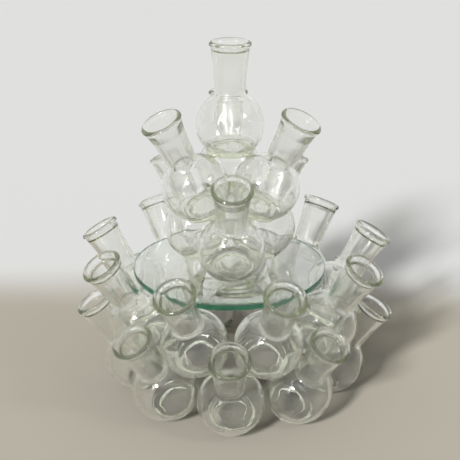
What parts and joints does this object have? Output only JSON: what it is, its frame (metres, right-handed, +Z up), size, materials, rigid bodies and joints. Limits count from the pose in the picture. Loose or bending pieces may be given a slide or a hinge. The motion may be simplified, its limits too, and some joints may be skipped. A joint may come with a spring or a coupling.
{
  "type": "cluster vase",
  "caption": "Tiered vase made of small clear glass flasks with flared necks, bonded bulb to bulb in rings and trios, with a round glass plate between the tiers.",
  "frame": {"origin": "on the floor, at the centre of the two rings of flasks", "axes": "+Z up along the axis of the rings, -Y towards the front flask of the floor ring, +X to its right"},
  "size_m": [0.2968, 0.3002, 0.337],
  "materials": {
    "flask_glass": "clear hand-blown glass with a faint olive tint in its thick base and rolled lip",
    "plate_glass": "clear float glass, polished and bevelled at its edge, where it looks deep green",
    "adhesive": "clear cured glass adhesive with a faint yellow tint"
  },
  "bodies": {
    "lower_cluster": {"floor_ring_flask_1": "flask_glass", "floor_ring_flask_2": "flask_glass", "floor_ring_flask_3": "flask_glass", "floor_ring_flask_4": "flask_glass", "floor_ring_flask_5": "flask_glass", "floor_ring_flask_6": "flask_glass", "floor_ring_flask_7": "flask_glass", "floor_ring_flask_8": "flask_glass", "floor_ring_flask_9": "flask_glass", "second_ring_flask_1": "flask_glass", "second_ring_flask_2": "flask_glass", "second_ring_flask_3": "flask_glass", "second_ring_flask_4": "flask_glass", "second_ring_flask_5": "flask_glass", "second_ring_flask_6": "flask_glass", "second_ring_flask_7": "flask_glass", "second_ring_flask_8": "flask_glass", "second_ring_flask_9": "flask_glass", "ring_bond_1": "adhesive", "ring_bond_2": "adhesive", "ring_bond_3": "adhesive", "ring_bond_4": "adhesive", "ring_bond_5": "adhesive", "ring_bond_6": "adhesive", "ring_bond_7": "adhesive", "ring_bond_8": "adhesive", "ring_bond_9": "adhesive", "ring_bond_10": "adhesive", "ring_bond_11": "adhesive", "ring_bond_12": "adhesive", "ring_bond_13": "adhesive", "ring_bond_14": "adhesive", "ring_bond_15": "adhesive", "ring_bond_16": "adhesive", "ring_bond_17": "adhesive", "ring_bond_18": "adhesive"},
    "glass_plate": {"glass_plate": "plate_glass"},
    "upper_cluster": {"lower_trio_flask_1": "flask_glass", "lower_trio_flask_2": "flask_glass", "lower_trio_flask_3": "flask_glass", "upper_trio_flask_1": "flask_glass", "upper_trio_flask_2": "flask_glass", "upper_trio_flask_3": "flask_glass", "top_flask": "flask_glass", "lower_trio_bond_1": "adhesive", "lower_trio_bond_2": "adhesive", "lower_trio_bond_3": "adhesive", "trio_seat_bond_1": "adhesive", "trio_seat_bond_2": "adhesive", "trio_seat_bond_3": "adhesive", "trio_seat_bond_4": "adhesive", "trio_seat_bond_5": "adhesive", "trio_seat_bond_6": "adhesive", "upper_trio_bond_1": "adhesive", "upper_trio_bond_2": "adhesive", "upper_trio_bond_3": "adhesive", "top_flask_bond_1": "adhesive", "top_flask_bond_2": "adhesive", "top_flask_bond_3": "adhesive"}
  },
  "joints": [
    {"name": "plate_lift", "type": "slide", "parent": "lower_cluster", "child": "glass_plate", "axis": [0, 0, 1], "range_m": [0, 0.06]},
    {"name": "upper_cluster_lift", "type": "slide", "parent": "glass_plate", "child": "upper_cluster", "axis": [0, 0, 1], "range_m": [0, 0.06]}
  ]
}
